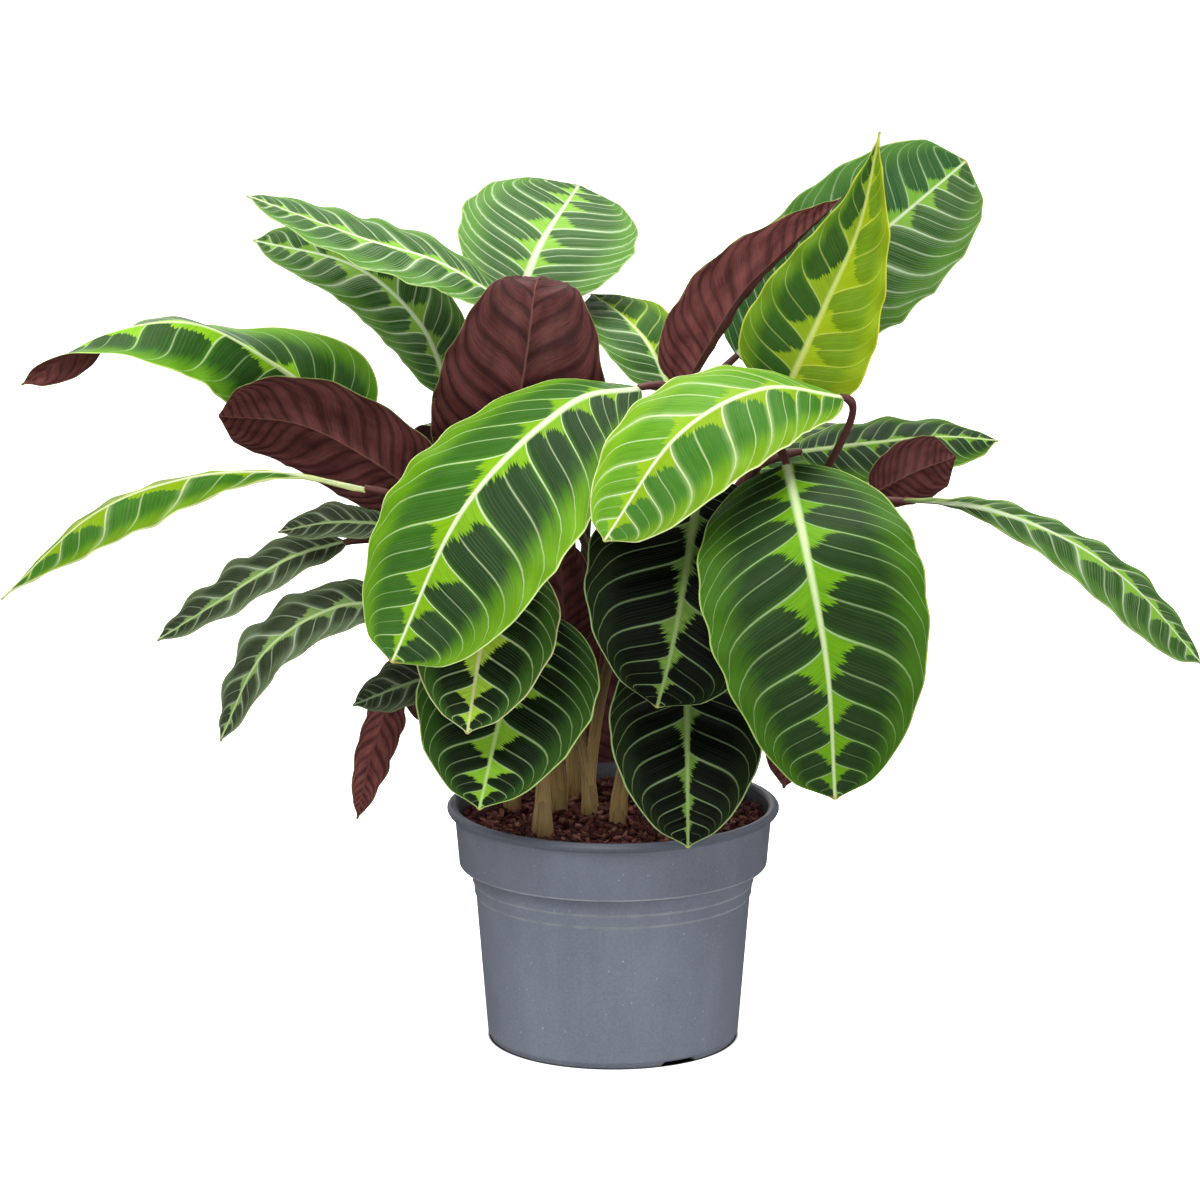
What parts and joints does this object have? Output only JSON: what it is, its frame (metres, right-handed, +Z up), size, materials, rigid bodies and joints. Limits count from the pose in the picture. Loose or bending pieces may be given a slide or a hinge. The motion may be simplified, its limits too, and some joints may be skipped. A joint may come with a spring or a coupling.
{
  "type": "potted calathea",
  "caption": "Potted foliage plant: broad patterned leaves on slim stalks, standing in soil in a round plastic nursery pot.",
  "frame": {"origin": "centre of the round foot under the pot's floor, on the surface that the pot stands on", "axes": "+Z up along the pot's axis, +Y away from the side that the picture shows, +X to that view's right, along the widest spread of leaves"},
  "size_m": [0.7361, 0.4609, 0.5773],
  "materials": {
    "pot": "satin moulded plastic, fine speckle",
    "soil": "loose bark and potting mix",
    "stalk": "smooth fresh plant stalk",
    "leaf": "satin leaf, patterned above and burgundy below",
    "leaf_bright": "satin young leaf, lime and green above and burgundy below",
    "leaf_dark": "satin old leaf, dark green above and burgundy below"
  },
  "bodies": {
    "root": {"pot": "pot", "soil": "soil", "shoot_1": "stalk", "shoot_2": "stalk", "shoot_3": "stalk", "shoot_4": "stalk", "shoot_5": "stalk", "shoot_6": "stalk", "shoot_7": "stalk", "shoot_8": "stalk", "shoot_9": "stalk", "leaf_01": "leaf", "leaf_02": "leaf", "leaf_03": "leaf", "leaf_04": "leaf", "leaf_05": "leaf", "leaf_06": "leaf", "leaf_07": "leaf", "leaf_08": "leaf", "leaf_09": "leaf_bright", "leaf_10": "leaf_bright", "leaf_11": "leaf", "leaf_12": "leaf", "leaf_13": "leaf_dark", "leaf_14": "leaf_dark", "leaf_15": "leaf_dark", "leaf_16": "leaf_bright", "leaf_17": "leaf_dark", "leaf_18": "leaf_bright", "leaf_19": "leaf_dark", "leaf_20": "leaf_dark", "leaf_21": "leaf_dark", "leaf_22": "leaf_dark", "leaf_23": "leaf", "leaf_24": "leaf", "leaf_25": "leaf", "leaf_26": "leaf", "leaf_27": "leaf", "leaf_28": "leaf", "leaf_29": "leaf", "leaf_30": "leaf", "leaf_31": "leaf", "leaf_32": "leaf", "leaf_33": "leaf", "leaf_34": "leaf", "leaf_35": "leaf"}
  },
  "joints": []
}
